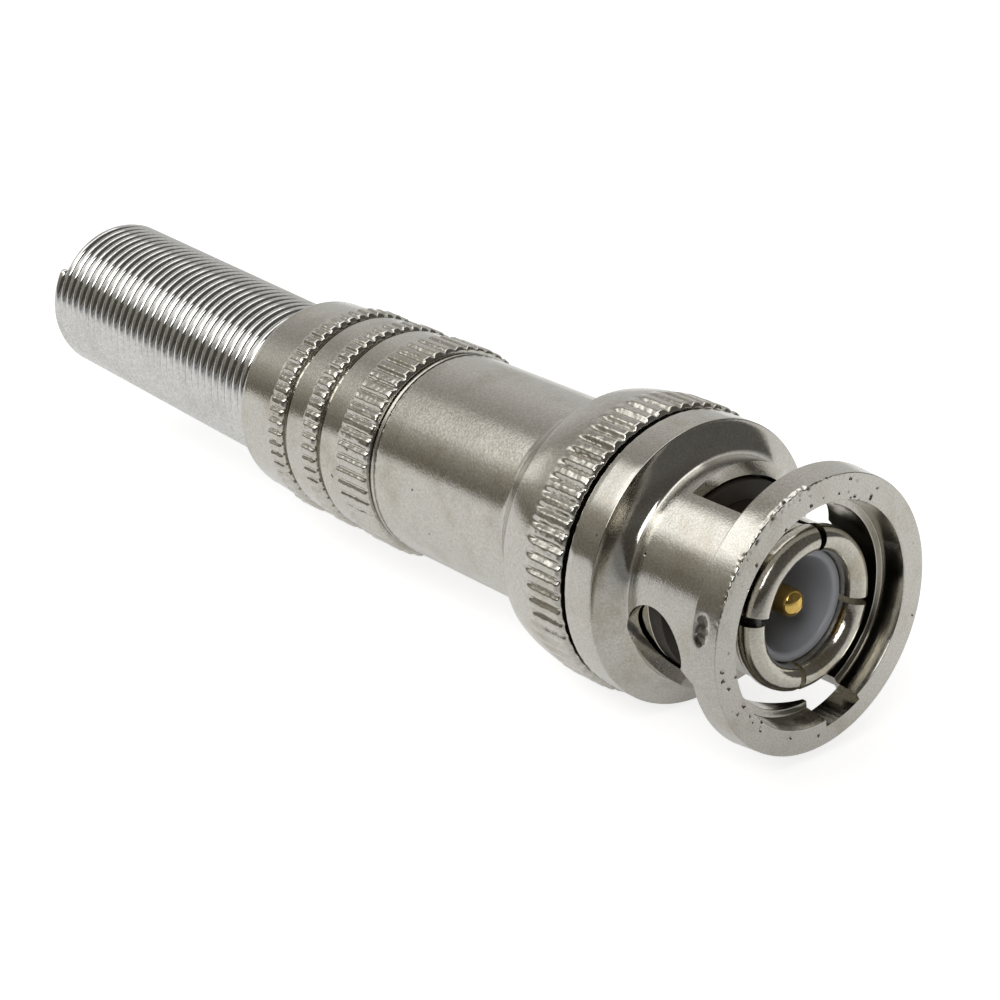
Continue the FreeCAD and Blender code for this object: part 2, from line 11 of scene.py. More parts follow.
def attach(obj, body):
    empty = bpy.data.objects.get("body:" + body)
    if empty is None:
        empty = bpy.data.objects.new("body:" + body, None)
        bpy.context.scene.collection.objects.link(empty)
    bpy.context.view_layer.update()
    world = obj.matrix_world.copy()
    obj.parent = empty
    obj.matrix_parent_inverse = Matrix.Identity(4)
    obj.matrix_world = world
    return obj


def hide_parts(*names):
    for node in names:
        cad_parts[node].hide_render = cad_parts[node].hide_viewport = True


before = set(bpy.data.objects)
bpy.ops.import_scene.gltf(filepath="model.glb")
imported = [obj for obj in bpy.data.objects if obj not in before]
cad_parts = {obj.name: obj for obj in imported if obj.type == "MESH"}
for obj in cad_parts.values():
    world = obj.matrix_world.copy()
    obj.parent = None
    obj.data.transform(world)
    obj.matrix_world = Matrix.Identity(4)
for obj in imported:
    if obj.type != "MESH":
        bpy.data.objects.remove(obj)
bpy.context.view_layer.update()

MM = 0.001


# Shapes

def spot(depth, radius, clock):
    """Point of the row frame, in metres. The clock angle is in radians."""
    return Vector((-depth, radius * sin(clock), radius * cos(clock))) * MM


def outline(*corners, steps=4):
    """Corners (depth, radius, rounding) as a list of points, with each rounded corner drawn as a curve."""
    points = []
    for index, corner in enumerate(corners):
        here = Vector(corner[:2])
        rounding = corner[2] if len(corner) == 3 else 0
        if not rounding:
            points.append(tuple(here))
            continue
        before = Vector(corners[index - 1][:2]) - here
        after = Vector(corners[(index + 1) % len(corners)][:2]) - here
        start = before.normalized() * min(rounding, before.length * 0.48)
        end = after.normalized() * min(rounding, after.length * 0.48)
        for step in range(steps + 1):
            share = step / steps
            points.append(tuple(here + start * (1 - share) ** 2 + end * share ** 2))
    return points


def divided(points, longest, closed=True):
    """The same outline with its long straight runs divided."""
    result = []
    count = len(points)
    for index in range(count if closed else count - 1):
        start = Vector(points[index])
        end = Vector(points[(index + 1) % count])
        runs = max(1, int((end - start).length / longest + 0.999))
        result += [tuple(start.lerp(end, run / runs)) for run in range(runs)]
    if not closed:
        result.append(points[-1])
    return result


def even_steps(start, end, runs):
    """Numbers from start to end, evenly apart."""
    return [start + (end - start) * step / runs for step in range(runs + 1)]


def shallow(start, end, rise, runs):
    """Points of a shallow curve between two corners."""
    return [
        (start[0] + share * (end[0] - start[0]),
         start[1] + share * (end[1] - start[1]) + 4 * rise * share * (1 - share))
        for share in even_steps(0, 1, runs)
    ]


def near(clock, middle, width):
    """1 at a clock angle in degrees, and 0 beyond a width on either side."""
    apart = abs((degrees(clock) - middle + 180) % 360 - 180)
    return max(0, 1 - apart / width)


def eased(share):
    """A share from 0 to 1 with a soft start and end."""
    share = min(1, max(0, share))
    return share * share * (3 - 2 * share)


def make_object(name, shape, sharp=40):
    """Turn a bmesh into an object with smooth faces and sharp edges over an angle."""
    bmesh.ops.remove_doubles(shape, verts=shape.verts, dist=1e-8)
    bmesh.ops.recalc_face_normals(shape, faces=shape.faces)
    mesh = bpy.data.meshes.new(name)
    shape.to_mesh(mesh)
    shape.free()
    mesh.shade_smooth()
    mesh.set_sharp_from_angle(angle=radians(sharp))
    made = bpy.data.objects.new(name, mesh)
    bpy.context.collection.objects.link(made)
    return made


def lathe_shape(points, columns, moved=None):
    """Turn a closed outline about the axis. moved(depth, radius, clock) shifts single points."""
    shape = bmesh.new()
    rings = []
    for depth, radius in points:
        ring = []
        for column in range(columns):
            clock = 2 * pi * column / columns
            place = moved(depth, radius, clock) if moved else (depth, radius)
            ring.append(shape.verts.new(spot(*place, clock)))
        rings.append(ring)
    for index, ring in enumerate(rings):
        after = rings[(index + 1) % len(rings)]
        for column in range(columns):
            beside = (column + 1) % columns
            shape.faces.new((ring[column], ring[beside], after[beside], after[column]))
    return shape


def block(path, inner, outer):
    """Solid between two radii whose sides follow a closed path of (clock in degrees, depth)."""
    shape = bmesh.new()
    levels = 10    # a sloping side is twisted, so it is divided between the radii
    rings = []
    for level in range(levels + 1):
        radius = inner + (outer - inner) * level / levels
        rings.append([shape.verts.new(spot(depth, radius, radians(clock))) for clock, depth in path])
    count = len(path)
    for ring, above in zip(rings, rings[1:]):
        for index in range(count):
            beside = (index + 1) % count
            shape.faces.new((ring[index], ring[beside], above[beside], above[index]))
    for ring in (rings[0], rings[-1]):
        shape.faces.new(ring)
    bmesh.ops.triangulate(shape, faces=shape.faces)
    return shape


def apply(piece, modifier):
    """Apply a modifier to the mesh."""
    with bpy.context.temp_override(object=piece, active_object=piece):
        bpy.ops.object.modifier_apply(modifier=modifier.name)


def cut(piece, *cutters):
    """Cut closed shapes out of a piece, and shade the cut walls evenly."""
    for cutter in cutters:
        modifier = piece.modifiers.new("cut", "BOOLEAN")
        modifier.object = cutter
        modifier.operation = "DIFFERENCE"
        modifier.solver = "EXACT"
        apply(piece, modifier)
        bpy.data.objects.remove(cutter)
    piece.data.shade_smooth()
    piece.data.set_sharp_from_angle(angle=radians(32))
    even = piece.modifiers.new("even", "WEIGHTED_NORMAL")
    even.keep_sharp = True
    apply(piece, even)


def uneven(place, size, seed=0.0):
    """Smooth noise from -1 to 1 at a point in metres, with bumps of a size in millimetres."""
    return noise.noise(place / (size * MM) + Vector((seed, seed * 1.7, -seed)))


def settle(piece, body, slot, material, *nodes):
    """Give a piece its material, its body and the CAD nodes that it stands for."""
    piece.data.materials.clear()
    piece.data.materials.append(material)
    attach(piece, body)
    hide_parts(*nodes)


# Materials

def add(tree, kind, values=None, **settings):
    """Add a node. Settings are its properties, and values fill its inputs with numbers or links."""
    made = tree.nodes.new(kind)
    for key, value in settings.items():
        setattr(made, key, value)
    for key, value in (values or {}).items():
        if isinstance(value, bpy.types.NodeSocket):
            tree.links.new(value, made.inputs[key])
        else:
            made.inputs[key].default_value = value
    return made


def ramp(tree, factor, *stops):
    """Colour ramp from stops of (position, grey or colour)."""
    made = add(tree, "ShaderNodeValToRGB", {"Fac": factor})
    elements = made.color_ramp.elements
    while len(elements) < len(stops):
        elements.new(0.5)
    for element, (position, colour) in zip(elements, stops):
        element.position = position
        if isinstance(colour, (int, float)):
            colour = (colour, colour, colour)
        element.color = (*colour, 1)
    return made.outputs["Color"]


def reckon(tree, operation, *values):
    """Math node."""
    return add(tree, "ShaderNodeMath", dict(enumerate(values)), operation=operation).outputs[0]


def reckon_vector(tree, operation, *values, result="Vector"):
    """Vector Math node. result is Vector, or Value where the operation gives a number."""
    made = add(tree, "ShaderNodeVectorMath", dict(enumerate(values)), operation=operation)
    return made.outputs[result]


def blend(tree, factor, first, second, kind="MIX"):
    """Mix of two colours."""
    made = add(tree, "ShaderNodeMix", data_type="RGBA", blend_type=kind)
    for name, value in (("Factor_Float", factor), ("A_Color", first), ("B_Color", second)):
        socket = next(s for s in made.inputs if s.identifier == name)
        if isinstance(value, bpy.types.NodeSocket):
            tree.links.new(value, socket)
        else:
            socket.default_value = value if name == "Factor_Float" else (*value, 1)
    return next(s for s in made.outputs if s.identifier == "Result_Color")


def start_material(name):
    material = bpy.data.materials.new(name)
    material.use_nodes = True
    tree = material.node_tree
    shader = tree.nodes["Principled BSDF"]
    coordinates = add(tree, "ShaderNodeTexCoord").outputs["Object"]
    return material, tree, shader, coordinates


def speckle(tree, coordinates, size, stretch=(1, 1, 1), detail=3, roughness=0.5):
    """Noise with spots of a size in millimetres, stretched along some axes."""
    scale = [1 / (size * MM * share) for share in stretch]
    mapped = add(tree, "ShaderNodeMapping", {"Vector": coordinates, "Scale": scale})
    return add(tree, "ShaderNodeTexNoise", {
        "Vector": mapped.outputs[0], "Scale": 1, "Detail": detail, "Roughness": roughness,
    }).outputs["Fac"]


def pits(tree, coordinates, spacing, width, keep):
    """Round pits, about one in each cell of a spacing. keep is the share of cells without a pit."""
    mapped = add(tree, "ShaderNodeMapping", {"Vector": coordinates, "Scale": [1 / (spacing * MM)] * 3})
    cells = add(tree, "ShaderNodeTexVoronoi", {"Vector": mapped.outputs[0], "Scale": 1})
    hollow = ramp(tree, cells.outputs["Distance"], (0, 1), (width / spacing, 0))
    lot = add(tree, "ShaderNodeSeparateColor", {0: cells.outputs["Color"]}).outputs["Red"]
    chosen = ramp(tree, lot, (keep, 0), (keep + 0.02, 1))
    return reckon(tree, "MULTIPLY", hollow, chosen)


def add_bump(tree, shader, height, distance):
    bump = add(tree, "ShaderNodeBump", {"Height": height, "Strength": 1.0, "Distance": distance})
    tree.links.new(bump.outputs[0], shader.inputs["Normal"])


PIT_COLOUR = (0.10, 0.085, 0.07)
MARK_AND_SHADE_COLOUR = (0.05, 0.042, 0.032)
DULL = (0.42, 0.42, 0.42)    # roughness of a dull bore, the same three times
PIT_SPACING, PIT_WIDTH, PIT_DEPTH = 0.9, 0.10, 0.02
PATCH_SIZE = 2.6


def plated_metal(name, colour, stain, rough, grain, lines, smooth_share, dull_bore=0, polished_from=0,
                 marks=()):
    """Plated metal: grain and turning lines in bump, uneven gloss, small pits and faint stains.

    rough is (lowest, highest), and grain and lines are (size, depth) in millimetres. smooth_share is
    the share of the surface without pits. The metal is dull and takes the stain colour inside a bore of
    the given radius, and smooth behind a given depth. Each mark is a dark spot: (depth, radius, clock,
    size).
    """
    material, tree, shader, coordinates = start_material(name)
    patches = speckle(tree, coordinates, PATCH_SIZE, detail=5, roughness=0.62)
    fine = speckle(tree, coordinates, grain[0], detail=4, roughness=0.6)
    turning = speckle(tree, coordinates, lines[0], stretch=(1, 90, 90), detail=2)
    holes = pits(tree, coordinates, PIT_SPACING, PIT_WIDTH, smooth_share)
    outward = reckon_vector(tree, "MULTIPLY", coordinates, (0, 1, 1))

    # Colour
    stained = ramp(tree, patches, (0.50, 0), (0.72, 1))
    tinted = blend(tree, reckon(tree, "MULTIPLY", stained, 0.75), colour, stain)
    grained = blend(tree, 1.0, tinted, ramp(tree, fine, (0.34, 0.76), (0.66, 1.0)), "MULTIPLY")
    shade = blend(tree, reckon(tree, "MULTIPLY", holes, 0.8), grained, PIT_COLOUR)
    # Each mark paints a dark spot; on the nut's scar it is painted shade.
    for depth, radius, clock, size in marks:
        centre = spot(depth, radius, radians(clock))
        away = reckon_vector(tree, "DISTANCE", coordinates, centre, result="Value")
        edge = reckon(tree, "MULTIPLY_ADD", fine, 0.5, reckon(tree, "DIVIDE", away, size * MM))
        shade = blend(tree, ramp(tree, edge, (0.80, 0.80), (1.0, 0)), shade, MARK_AND_SHADE_COLOUR)

    # Gloss
    gloss = reckon(tree, "MULTIPLY_ADD", patches, 0.55, reckon(tree, "MULTIPLY", fine, 0.45))
    roughness = ramp(tree, gloss, (0.32, rough[0]), (0.70, rough[1]))
    if dull_bore:
        away = reckon_vector(tree, "LENGTH", outward, result="Value")
        inside = ramp(tree, reckon(tree, "SUBTRACT", dull_bore * MM, away), (0, 0), (0.06 * MM, 1))
        shade = blend(tree, inside, shade, stain)
        roughness = blend(tree, inside, roughness, DULL)

    # Height. Turned lines are only on surfaces that face away from the axis or towards it.
    normal = add(tree, "ShaderNodeTexCoord").outputs["Normal"]
    radial = reckon_vector(tree, "NORMALIZE", outward)
    facing = reckon_vector(tree, "DOT_PRODUCT", radial, normal, result="Value")
    turned = ramp(tree, reckon(tree, "ABSOLUTE", facing), (0.60, 0), (0.95, lines[1]))
    height = reckon(tree, "MULTIPLY_ADD", fine, grain[1], reckon(tree, "MULTIPLY", turning, turned))
    height = reckon(tree, "SUBTRACT", height, reckon(tree, "MULTIPLY", holes, PIT_DEPTH))
    if polished_from:
        along = add(tree, "ShaderNodeSeparateXYZ", {0: coordinates}).outputs["X"]
        behind = reckon(tree, "MULTIPLY_ADD", along, -1 / MM, -polished_from)
        height = reckon(tree, "MULTIPLY", height, ramp(tree, behind, (0, 1), (0.7, 0.32)))

    tree.links.new(shade, shader.inputs["Base Color"])
    tree.links.new(roughness, shader.inputs["Roughness"])
    shader.inputs["Metallic"].default_value = 1
    add_bump(tree, shader, height, MM)
    return material


def plastic(name, colour, shadow, rough, grain, clear=0.0):
    """Moulded plastic or rubber with faint clouds and a fine skin."""
    material, tree, shader, coordinates = start_material(name)
    clouds = speckle(tree, coordinates, 1.8, detail=4)
    fine = speckle(tree, coordinates, 0.12, detail=3)
    tree.links.new(blend(tree, clouds, shadow, colour), shader.inputs["Base Color"])
    tree.links.new(ramp(tree, clouds, (0.3, rough[0]), (0.7, rough[1])), shader.inputs["Roughness"])
    shader.inputs["Subsurface Weight"].default_value = clear
    shader.inputs["Subsurface Radius"].default_value = (0.002, 0.002, 0.002)
    shader.inputs["Subsurface Scale"].default_value = 0.4
    add_bump(tree, shader, fine, grain * MM)
    return material


NICKEL = (0.60, 0.583, 0.537)
BROWN = (0.45, 0.415, 0.345)

SCAR_DEPTH, SCAR_CLOCK, SCAR_STEP = 0.93, -82, 3.5

nut_metal = plated_metal(
    "nut_nickel", NICKEL, BROWN, rough=(0.065, 0.17), grain=(0.10, 0.0046), lines=(0.09, 0.0024),
    smooth_share=0.93, dull_bore=5.44, polished_from=6.2,
    marks=(
        # The first three marks are painted shade in the scar's dent; the other four are dark spots.
        (SCAR_DEPTH, 6.78, SCAR_CLOCK + SCAR_STEP, 0.48),
        (SCAR_DEPTH, 6.78, SCAR_CLOCK, 0.52),
        (SCAR_DEPTH, 6.78, SCAR_CLOCK - SCAR_STEP, 0.48),
        (0, 5.68, 28.9, 0.14),
        (0.2, 5.81, -5.6, 0.20),
        (0, 6.35, -101.6, 0.13),
        (0, 5.50, -138.9, 0.16),
    ),
)
barrel_metal = plated_metal(
    "barrel_nickel", NICKEL, BROWN, rough=(0.10, 0.22), grain=(0.13, 0.0068), lines=(0.10, 0.0006),
    smooth_share=0.94, marks=((22.97, 5.47, -85.5, 0.11), (21.96, 5.47, -108.3, 0.10)),
)
shell_metal = plated_metal(
    "shell_nickel", NICKEL, BROWN, rough=(0.09, 0.20), grain=(0.12, 0.0060), lines=(0.10, 0.0010),
    smooth_share=0.94, marks=((29.69, 5.62, -98.6, 0.16),),
)
contact_metal = plated_metal(
    "contact_nickel", (0.60, 0.575, 0.505), (0.43, 0.37, 0.25), rough=(0.07, 0.18), grain=(0.12, 0.0060),
    lines=(0.07, 0.0010), smooth_share=0.90,
)
wire_metal = plated_metal(
    "wire_nickel", (0.69, 0.69, 0.68), (0.60, 0.59, 0.57), rough=(0.04, 0.10), grain=(0.16, 0.0008),
    lines=(0.30, 0.0003), smooth_share=0.96,
)
gold = plated_metal(
    "gold", (0.84, 0.57, 0.16), (0.58, 0.36, 0.09), rough=(0.07, 0.18), grain=(0.10, 0.0016),
    lines=(0.06, 0.0014), smooth_share=0.95,
)
# Painted shade: the milky white insulator is coloured grey-blue, as it looks in the shade deep inside the
# plug.
shaded_milky_plastic = plastic(
    "shaded_milky_plastic", (0.40, 0.415, 0.45), (0.33, 0.345, 0.385), rough=(0.28, 0.42), grain=0.004, clear=0.3,
)
liner_plastic = plastic(
    "liner_plastic", (0.70, 0.71, 0.72), (0.62, 0.63, 0.64), rough=(0.25, 0.40), grain=0.003, clear=0.2,
)
black_rubber = plastic(
    "black_rubber", (0.040, 0.028, 0.018), (0.008, 0.007, 0.006), rough=(0.35, 0.60), grain=0.012,
)


# Coupling nut

JACK_BORE, MOUTH, NECK, RING = 4.95, 5.48, 5.60, 7.09
MOUTH_DEPTH, MOUTH_REAR = 1.22, 5.31
RIM_FRONT, RIM_REAR, RIM_LENGTH = 6.75, 6.87, 1.45
RING_FRONT, RING_REAR, LIP_FRONT, LIP_BORE = 7.75, 9.55, 8.38, 3.80
SLOT_RADIUS, SLOT_START, SLOT_SIDE = 5.85, -29.25, -6.75
WINDOW_REAR, TRACK_WIDTH, RAMP_PITCH = 5.76, 2.85, 12.7
POCKET_CLOCK, POCKET_DEPTH, POCKET_RADIUS = 74.05, 5.26, 1.70
CUT_MARGIN = 0.6


def window_path():
    """Outline of the window: level beside the slot, then the sloping track."""
    def front_edge(clock):
        return RIM_LENGTH + RAMP_PITCH * max(0, clock - SLOT_SIDE) / 360

    def rear_edge(clock):
        sloping = max(WINDOW_REAR, front_edge(clock) + TRACK_WIDTH)
        return min(POCKET_DEPTH + 0.97 * POCKET_RADIUS, sloping)

    clocks = even_steps(SLOT_START, POCKET_CLOCK, 48)
    front = [(clock, front_edge(clock)) for clock in clocks]
    rear = [(clock, rear_edge(clock)) for clock in clocks]
    return front + rear[::-1]


def slot_path():
    clocks = even_steps(SLOT_START, SLOT_SIDE, 8)
    return [(clock, -1) for clock in clocks] + [(clock, WINDOW_REAR) for clock in clocks[::-1]]


def pocket_path():
    """The round pocket at the end of the track, as it is where it meets the middle of the wall."""
    wall = (JACK_BORE + NECK) / 2
    path = []
    for turn in even_steps(0, 2 * pi, 72)[:-1]:
        clock = POCKET_CLOCK + degrees(POCKET_RADIUS * cos(turn) / wall)
        path.append((clock, POCKET_DEPTH + POCKET_RADIUS * sin(turn)))
    return path


def turned_path(path, angle):
    return [(clock + angle, depth) for clock, depth in path]


def nut_wear(depth, radius, clock):
    """Uneven casting, burrs on the rim's front edge, pits in its face and a scar on its outside."""
    place = spot(depth, radius, clock)
    out = 0.010 * uneven(place, 3.0) + 0.004 * uneven(place, 0.7, 3)
    if depth < 0.2 and abs(radius - RIM_FRONT) < 0.25:
        burr = uneven(place, 0.17, 7) * min(1, 2 * near(clock, -36, 52))
        out += 0.15 * min(0, burr)
        depth += 0.12 * max(0, burr)
    if depth < 0.1 and radius < RIM_FRONT - 0.08:
        worst = max(near(clock, -118, 34), near(clock, 16, 30))
        limit = 0.62 - 0.15 * min(1, 2 * worst)
        depth += min(0.08, 0.8 * max(0, uneven(place, 0.24, 11) - limit))
    scar = 1 - Vector((1 - near(clock, SCAR_CLOCK, 7), (depth - SCAR_DEPTH) / 0.40)).length
    if radius > RIM_FRONT - 0.05 and depth < RIM_LENGTH and scar > 0:
        out -= min(1, scar * 3) * (0.10 + 0.02 * uneven(place, 0.2, 3))
    return depth, radius + out


def coupling_nut():
    face = [(0, MOUTH + 0.09 * step) for step in range(1, 14)]
    rim = divided([(0, RIM_FRONT), (RIM_LENGTH, RIM_REAR)], 0.11, closed=False)
    sweep = shallow((RING_FRONT - 0.95, NECK), (RING_FRONT - 0.02, RING - 0.10), -0.33, 16)
    corners = outline(
        (0, MOUTH, 0.05), *face, (0, RIM_FRONT, 0.06),
        *rim[1:-1], (RIM_LENGTH, RIM_REAR, 0.05), (RIM_LENGTH, NECK, 0.04),
        *sweep, (RING_FRONT, RING, 0.05), (RING_REAR, RING, 0.12),
        (RING_REAR, LIP_BORE, 0.06), (LIP_FRONT, LIP_BORE), (LIP_FRONT, JACK_BORE, 0.10),
        (MOUTH_DEPTH, JACK_BORE, 0.05), (MOUTH_DEPTH, MOUTH_REAR, 0.03),
    )
    piece = make_object("coupling_nut_shown", lathe_shape(divided(corners, 0.30), 540, nut_wear))
    outside = RING + CUT_MARGIN
    cutters = []
    for half in (0, 180):
        for path, outer in ((window_path(), outside), (pocket_path(), outside), (slot_path(), SLOT_RADIUS)):
            shape = block(turned_path(path, half), JACK_BORE - CUT_MARGIN, outer)
            cutters.append(make_object("cutter", shape))
    cut(piece, *cutters)
    settle(piece, "nut", "nickel_plate", nut_metal, "coupling_nut")


# Outer contact, centre contact and insulator

# Depths
SLEEVE_FRONT, BEAD_REAR, TAPER_REAR, SLIT_REAR, SLEEVE_REAR = 0.53, 1.36, 1.80, 5.0, 6.32
BORE_STEP, FLANGE_REAR, SHANK_REAR, TAIL_REAR = 6.90, 7.32, 13.62, 14.22
PIN_FRONT, PIN_REAR, COLLAR_START, COLLAR_END, CUP_FRONT, CUP_REAR = 1.46, 4.90, 9.22, 10.02, 15.32, 19.32
INSULATOR_STEP, INSULATOR_REAR = 6.88, 9.20
# Radii
NOSE_MIDDLE, NOSE_SIZE, SLEEVE_BORE, SLEEVE_RADIUS, BEAD = 3.365, 0.62, 2.745, 3.83, 3.995
BODY_FLANGE, SHANK, TAIL, BODY_BORE = 4.80, 3.70, 2.90, 2.30
PIN, PIN_NOSE, PIN_SHANK, PIN_COLLAR, SOLDER_CUP = 0.68, 0.46, 0.95, 1.50, 1.15
INSULATOR, INSULATOR_TAIL, PIN_HOLE, CUP_FLOOR, CUP_MOUTH = 2.72, 2.28, 0.97, 1.925, 2.325
SLIT_INNER, SLIT_OUTER = 1.9, 4.4
# The slits of the sleeve, in degrees, and the bent finger
SLIT_CLOCK, HALF_SLIT = 7.4, 3.1
BEND, BEND_LENGTH = 0.36, 2.6


def plug_body():
    nose = [(SLEEVE_FRONT + NOSE_SIZE * (1 - cos(turn)), NOSE_MIDDLE + NOSE_SIZE * sin(turn))
            for turn in even_steps(-pi / 2, pi / 2, 20)]
    corners = nose + outline(
        (BEAD_REAR, BEAD - 0.01), (TAPER_REAR, SLEEVE_RADIUS, 0.2), (SLEEVE_REAR, SLEEVE_RADIUS),
        (SLEEVE_REAR, BODY_FLANGE, 0.05), (FLANGE_REAR, BODY_FLANGE, 0.05), (FLANGE_REAR, SHANK, 0.04),
        (SHANK_REAR, SHANK, 0.1), (SHANK_REAR, TAIL), (TAIL_REAR, TAIL, 0.05), (TAIL_REAR, BODY_BORE),
        (BORE_STEP, BODY_BORE), (BORE_STEP, SLEEVE_BORE), steps=8,
    )

    def worn(depth, radius, clock):
        """Uneven casting, and the upper left finger bent inwards at its left end."""
        place = spot(depth, radius, clock)
        out = 0.012 * uneven(place, 1.6, 5) + 0.006 * uneven(place, 0.5, 2)
        finger = (degrees(clock) - SLIT_CLOCK + 90) % 360 / 90
        if finger < 1 and depth < BEND_LENGTH:
            out -= BEND * (1 - finger) * (1 - depth / BEND_LENGTH) ** 2
        return depth, radius + out

    piece = make_object("plug_body_shown", lathe_shape(divided(corners, 0.4), 300, worn))
    slit = [(-HALF_SLIT, -1), (HALF_SLIT, -1), (HALF_SLIT, SLIT_REAR), (-HALF_SLIT, SLIT_REAR)]
    cutters = []
    for quarter in range(4):
        shape = block(turned_path(slit, SLIT_CLOCK + 90 * quarter), SLIT_INNER, SLIT_OUTER)
        cutters.append(make_object("cutter", shape))
    cut(piece, *cutters)
    settle(piece, "plug", "contact_plate", contact_metal, "plug_body")


def centre_contact():
    nose = [(PIN_FRONT + PIN_NOSE * (1 - cos(turn)), PIN * sin(turn)) for turn in even_steps(0, pi / 2, 14)]
    corners = nose + [
        (PIN_REAR, PIN), (PIN_REAR, PIN_SHANK), (COLLAR_START, PIN_SHANK), (COLLAR_START, PIN_COLLAR),
        (COLLAR_END, PIN_COLLAR), (COLLAR_END, PIN_SHANK), (CUP_FRONT, PIN_SHANK),
        (CUP_FRONT, SOLDER_CUP), (CUP_REAR, SOLDER_CUP), (CUP_REAR, 0),
    ]
    piece = make_object("centre_contact_shown", lathe_shape(divided(corners, 0.6, closed=False), 96))
    settle(piece, "plug", "gold_plate", gold, "centre_contact")


def front_insulator():
    corners = outline(
        (PIN_FRONT, INSULATOR, 0.08), (INSULATOR_STEP, INSULATOR), (INSULATOR_STEP, INSULATOR_TAIL),
        (INSULATOR_REAR, INSULATOR_TAIL), (INSULATOR_REAR, PIN_HOLE), (PIN_REAR, PIN_HOLE, 0.05),
        (PIN_REAR, CUP_FLOOR, 0.18), (PIN_FRONT, CUP_MOUTH, 0.22), steps=8,
    )
    piece = make_object("front_insulator_shown", lathe_shape(divided(corners, 0.5), 160))
    settle(piece, "plug", "insulator_white", shaded_milky_plastic, "front_insulator")


# Barrel and rear shell

# Depths of the barrel. Its valleys rise to the shoulder behind VALLEY_END.
COLLAR_FRONT, VALLEY_END, VALLEY_RISE, BAND_REAR = 9.80, 11.70, 0.65, 12.35
SHOULDER_REAR, FLARE_REAR, TUBE_REAR = 14.20, 15.95, 26.50
THREAD_FRONT, THREAD_REAR = 27.10, 30.70
CHAMBER_FRONT, CHAMBER_REAR, NOSE_BORE_FRONT = 13.40, 22.80, 24.40
# Radii of the barrel
BAND_CROWN, BAND_ROOT, SHOULDER, TUBE = 7.31, 7.05, 6.82, 5.46
THREAD, THREAD_ROOT, COLLAR_BORE, CHAMBER, NARROW_BORE, NOSE_BORE = 4.70, 4.35, 3.72, 4.30, 3.30, 3.55
# Depths of the shell
SHELL_FRONT, THREAD_END, SPRING_STOP = 26.58, 31.59, 36.37
DOME_FRONT, DOME_REAR, LIP_START, SHELL_REAR = 35.38, 37.95, 38.70, 38.76
# Radii of the shell
SHELL, GROOVE, DOME, DOME_LIP, DOME_EDGE = 5.59, 5.38, 5.45, 4.93, 4.86
SHELL_THREAD, SPRING_CHAMBER, CABLE_BORE = 4.75, 4.68, 3.70
SHELL_BANDS = (
    # front, rear, crown radius, ribs
    (SHELL_FRONT, 29.13, 5.79, 50),
    (31.07, 32.27, 5.77, 56),
    (34.12, 35.32, 5.77, 56),
)
# Front and rear of the shell's three lands, which have the ribbed bands. A groove follows the first two.
FIRST_LAND, SECOND_LAND, LAST_LAND = (26.60, 30.64), (31.07, 33.69), (34.12, 35.32)
ROW = 0.085    # distance between the rows of points on ribbed bands


def rib_wave(clock, count, crown):
    """Height of a ribbed band round the axis, from 0 in a valley to 1 on a crown."""
    share = abs((clock * count / (2 * pi) + 0.5) % 1 - 0.5) * 2
    return eased((1 - share) / (1 - crown))


def barrel():
    face = ((COLLAR_FRONT, COLLAR_BORE), (COLLAR_FRONT, BAND_ROOT, 0.06), (BAND_REAR, BAND_ROOT))
    corners = outline(*face)[:-1]
    corners += [(COLLAR_FRONT + ROW * step, BAND_ROOT) for step in range(1, 30)]
    corners += shallow((BAND_REAR + 0.02, BAND_CROWN - 0.12), (SHOULDER_REAR, SHOULDER), 0.05, 24)
    corners += shallow((SHOULDER_REAR, SHOULDER), (FLARE_REAR, TUBE), -0.12, 20)[1:]
    corners += divided([(FLARE_REAR, TUBE), (TUBE_REAR - 0.30, TUBE)], 0.25, closed=False)[1:]
    corners += outline(
        (TUBE_REAR - 0.26, TUBE - 0.035), (TUBE_REAR - 0.20, TUBE - 0.005), (TUBE_REAR, TUBE, 0.09),
        (TUBE_REAR, THREAD_ROOT), (THREAD_FRONT, THREAD_ROOT), (THREAD_FRONT, THREAD, 0.2),
        (THREAD_REAR, THREAD, 0.2), (THREAD_REAR, NOSE_BORE), (NOSE_BORE_FRONT, NOSE_BORE),
        (NOSE_BORE_FRONT, NARROW_BORE), (CHAMBER_REAR, NARROW_BORE), (CHAMBER_REAR, CHAMBER),
        (CHAMBER_FRONT, CHAMBER), (CHAMBER_FRONT, COLLAR_BORE),
    )

    def ribbed(depth, radius, clock):
        place = spot(depth, radius, clock)
        out = 0.008 * uneven(place, 4.0) + 0.003 * uneven(place, 1.1, 3)
        if radius > 6 and depth < BAND_REAR:
            start = min(1, max(0, (depth - COLLAR_FRONT) / 0.16 + 0.25))
            end = eased((depth - VALLEY_END) / VALLEY_RISE)
            height = start * (0.30 + 0.66 * rib_wave(clock, 60, 0.36)) * (1 - end) + 0.56 * end
            out += (BAND_CROWN - BAND_ROOT) * height
            out += (0.020 * uneven(place, 0.30, 9) + 0.014 * uneven(place, 0.14, 4)) * (1 - end)
        return depth, radius + out

    piece = make_object("barrel_shown", lathe_shape(corners, 600, ribbed), 50)
    settle(piece, "plug", "satin_nickel", barrel_metal, "barrel")


